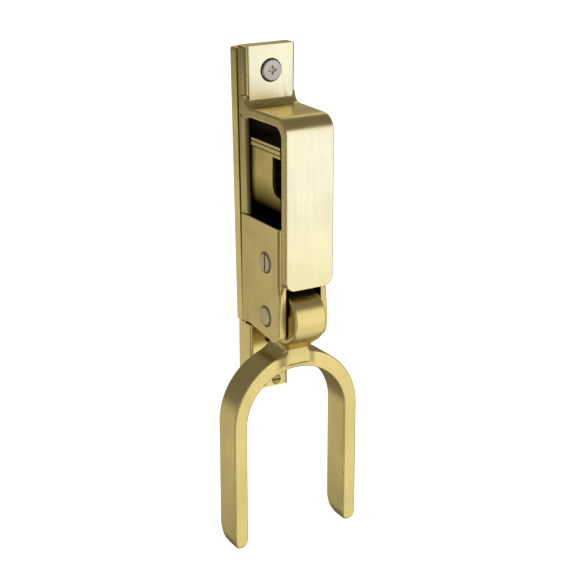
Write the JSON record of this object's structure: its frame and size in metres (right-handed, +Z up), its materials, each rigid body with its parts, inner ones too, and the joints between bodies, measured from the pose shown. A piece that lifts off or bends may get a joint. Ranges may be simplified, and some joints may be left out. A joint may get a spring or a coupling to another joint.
{
  "type": "door holder",
  "caption": "Wall or door mounted holder with a bent cover strap, a spring plunger in a U channel, and a hinged fork whose prongs hang down and swing forward.",
  "frame": {"origin": "on the wall face of the back plate, centred across its width, 81.3 mm below the plate's top edge", "axes": "+Y out of the back of the part into the wall or door, +Z up along the part, X across it"},
  "size_m": [0.0672, 0.0501, 0.2361],
  "materials": {
    "brass": "brushed satin",
    "brass_sheet": "brushed satin",
    "brass_dark": "satin",
    "head_metal": "satin",
    "steel": "satin",
    "nylon": "matte"
  },
  "bodies": {
    "base": {"back_plate": "brass", "core_bar": "brass", "rail_body": "brass", "cover_strap": "brass", "strap_pin_left": "steel", "strap_pin_right": "steel", "stack_rivet_upper": "brass_dark", "stack_rivet_lower": "brass_dark", "top_screw": "steel", "top_washer": "steel", "block_screw": "steel", "foot_screw_left": "brass_dark", "foot_screw_right": "brass_dark", "channel": "brass_sheet", "spring_stirrup": "brass_sheet", "stirrup_cap": "brass_sheet", "stirrup_screw_left": "head_metal", "stirrup_screw_right": "head_metal", "spring_seat_upper": "steel", "return_spring": "steel", "pivot_pin": "head_metal", "thrust_washer_left": "nylon", "thrust_washer_right": "nylon"},
    "plunger": {"cam_plunger": "brass_dark", "plunger_shoe": "nylon", "spring_rod": "steel", "spring_seat_lower": "steel"},
    "fork": {"fork": "brass", "pivot_bush": "brass_dark"}
  },
  "joints": [
    {"name": "fork_hinge", "type": "hinge", "parent": "base", "child": "fork", "pos_m": [0, -0.0297, -0.0398], "axis": [-1, 0, 0], "range_deg": [0, 90]},
    {"name": "plunger_slide", "type": "slide", "parent": "base", "child": "plunger", "axis": [0, 0, 1], "range_m": [0, 0.009], "stiffness_N_per_m": 1200, "springref_m": -0.006, "deforming": ["return_spring"]}
  ],
  "couplings": [
    {"joint": "plunger_slide", "follows": "fork_hinge", "m_per_rad": 0.005729}
  ]
}
